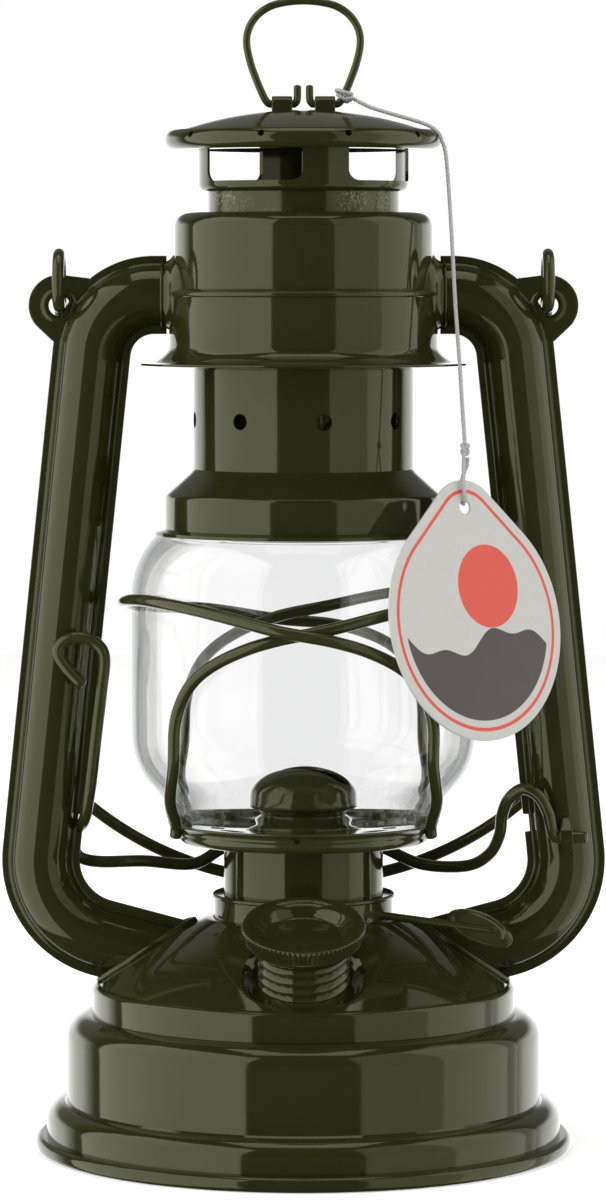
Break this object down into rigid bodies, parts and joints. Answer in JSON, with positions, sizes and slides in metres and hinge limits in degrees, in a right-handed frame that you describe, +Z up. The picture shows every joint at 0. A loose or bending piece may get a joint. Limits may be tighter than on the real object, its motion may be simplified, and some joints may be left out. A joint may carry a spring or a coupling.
{
  "type": "hurricane lantern",
  "caption": "Olive enamelled hurricane lantern with a clear globe, wire guards, side air tubes, carry bail and hang tag",
  "frame": {"origin": "middle of the rest plane, under the lantern's axis", "axes": "+X to the right across the side tubes, -Y to the front with the filler cap, +Z up along the lantern's axis"},
  "size_m": [0.15, 0.1336, 0.2853],
  "materials": {
    "enamel": "glossy dark olive enamel",
    "enamel_wire": "glossy dark olive enamel on wire",
    "glass": "clear",
    "gasket": "matte",
    "burner_metal": "satin",
    "cotton": "flat woven wick",
    "spring_steel": "bright",
    "string": "twisted thread",
    "card": "smooth printed card"
  },
  "bodies": {
    "root": {"tank_bottom": "enamel", "tank_body": "enamel", "tank_deck": "enamel", "tank_top": "enamel", "filler_neck": "enamel", "burner_collar": "enamel", "burner_drum": "enamel", "burner_cone": "enamel", "wick_tube": "burner_metal", "lever_strap": "enamel", "left_tube_front": "enamel", "left_tube_back": "enamel", "right_tube_front": "enamel", "right_tube_back": "enamel", "left_socket": "enamel", "right_socket": "enamel", "chamber_shell": "enamel", "chamber_floor": "enamel", "chimney_spring": "spring_steel"},
    "gasket": {"filler_gasket": "gasket"},
    "cap": {"filler_cap": "enamel"},
    "wick_winder": {"wick_shaft": "enamel_wire"},
    "wick_strip": {"wick": "cotton"},
    "lever": {"lift_lever": "enamel_wire"},
    "globe_carrier": {"globe_plate": "enamel", "globe": "glass", "guard_right_foot": "enamel_wire", "guard_left_foot": "enamel_wire"},
    "chimney": {"bell": "enamel", "flue": "enamel", "hood_crown": "enamel", "hood_cap": "enamel", "tag_string": "string", "tag_knot": "string", "tag_loop": "string", "hang_tag": "card"},
    "hood_ring": {"hood_ring": "enamel_wire", "string_knot": "string"},
    "bail": {"carry_bail": "enamel_wire"}
  },
  "joints": [
    {"name": "lever_swing", "type": "hinge", "parent": "root", "child": "lever", "pos_m": [0.06485, -0.0092, 0.0785], "axis": [0.997, -0.0764, -0.0158], "range_deg": [0, 22.2]},
    {"name": "globe_lift", "type": "slide", "parent": "root", "child": "globe_carrier", "axis": [0, 0, 1], "range_m": [0, 0.01105], "deforming": ["chimney_spring"]},
    {"name": "chimney_lift", "type": "slide", "parent": "globe_carrier", "child": "chimney", "axis": [0, 0, 1], "range_m": [0, 0.012], "deforming": ["chimney_spring"]},
    {"name": "hood_ring_swing", "type": "hinge", "parent": "chimney", "child": "hood_ring", "pos_m": [0, 0, 0.25905], "axis": [1, 0, 0], "range_deg": [-85, 85]},
    {"name": "bail_swing", "type": "hinge", "parent": "root", "child": "bail", "pos_m": [0, 0, 0.2156], "axis": [1, 0, 0], "range_deg": [0, 255]},
    {"name": "gasket_rise", "type": "slide", "parent": "root", "child": "gasket", "axis": [0, -0.342, 0.9397], "range_m": [0, 0.0076]},
    {"name": "cap_turn", "type": "hinge", "parent": "gasket", "child": "cap", "pos_m": [0, -0.041, 0.04645], "axis": [0, -0.342, 0.9397], "range_deg": [0, 1080]},
    {"name": "wick_turn", "type": "hinge", "parent": "root", "child": "wick_winder", "pos_m": [-0.00135, -0.00502, 0.06123], "axis": [0.9615, -0.2576, -0.0958], "range_deg": [-120, 120]},
    {"name": "wick_rise", "type": "slide", "parent": "root", "child": "wick_strip", "axis": [0, 0, 1], "range_m": [-0.0083, 0.0083]}
  ],
  "couplings": [
    {"joint": "lever_swing", "follows": "globe_lift", "rad_per_m": 34.722},
    {"joint": "gasket_rise", "follows": "cap_turn", "m_per_rad": 0.00039789},
    {"joint": "wick_turn", "follows": "wick_rise", "rad_per_m": 250}
  ]
}
